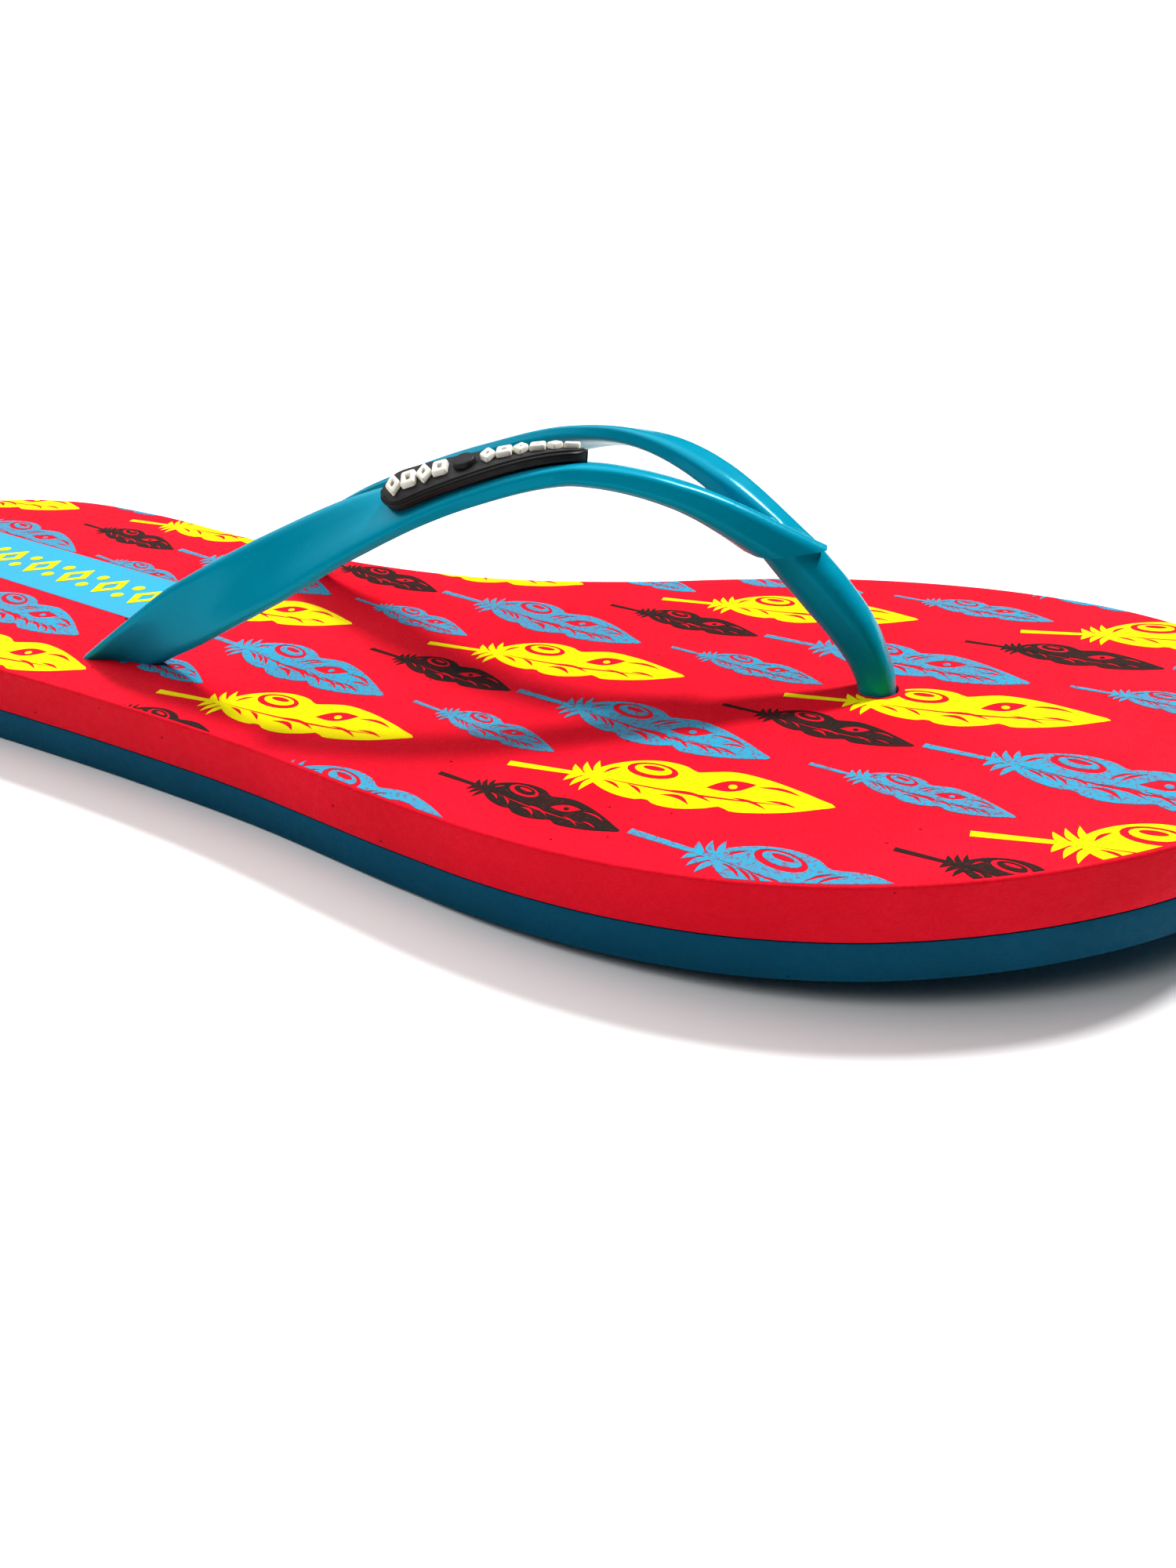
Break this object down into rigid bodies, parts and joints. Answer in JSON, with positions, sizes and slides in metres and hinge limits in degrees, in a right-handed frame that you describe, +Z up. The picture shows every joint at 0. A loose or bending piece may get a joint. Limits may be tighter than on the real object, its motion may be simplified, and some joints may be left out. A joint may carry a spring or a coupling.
{
  "type": "flip-flop sandal",
  "caption": "Right-foot thong sandal: two-layer foam sole with toe spring, moulded V strap with toe post, raised badge on the strap's outer arm.",
  "frame": {"origin": "on the ground, under the middle of the sole's length and width", "axes": "+X from the heel to the toe, +Y towards the big toe's side (left of the right foot), +Z up"},
  "size_m": [0.25, 0.0912, 0.0468],
  "materials": {
    "footbed_foam": "matt closed-cell foam, fine grain, printed top",
    "outsole_foam": "matt closed-cell foam",
    "strap_vinyl": "soft glossy moulded vinyl",
    "badge_black": "soft satin moulded vinyl",
    "badge_white": "soft satin moulded vinyl"
  },
  "bodies": {
    "middle": {"footbed_mid": "footbed_foam", "outsole_mid": "outsole_foam", "strap": "strap_vinyl", "toe_post": "strap_vinyl", "badge_plate": "badge_black", "badge_dot": "badge_black", "badge_mark_01": "badge_white", "badge_mark_02": "badge_white", "badge_mark_03": "badge_white", "badge_mark_04": "badge_white", "badge_mark_05": "badge_white", "badge_mark_06": "badge_white", "badge_mark_07": "badge_white", "badge_mark_08": "badge_white", "badge_mark_09": "badge_white", "badge_mark_10": "badge_white"},
    "heel": {"footbed_heel": "footbed_foam", "outsole_heel": "outsole_foam"},
    "toe": {"footbed_toe": "footbed_foam", "outsole_toe": "outsole_foam"}
  },
  "joints": [
    {"name": "toe_flex", "type": "hinge", "parent": "middle", "child": "toe", "pos_m": [0.082, 0, 0.0158], "axis": [0, -1, 0], "range_deg": [0, 40], "stiffness_Nm_per_rad": 0.6},
    {"name": "heel_flex", "type": "hinge", "parent": "middle", "child": "heel", "pos_m": [-0.047, 0, 0.0125], "axis": [0, 1, 0], "range_deg": [0, 40], "stiffness_Nm_per_rad": 0.6}
  ]
}
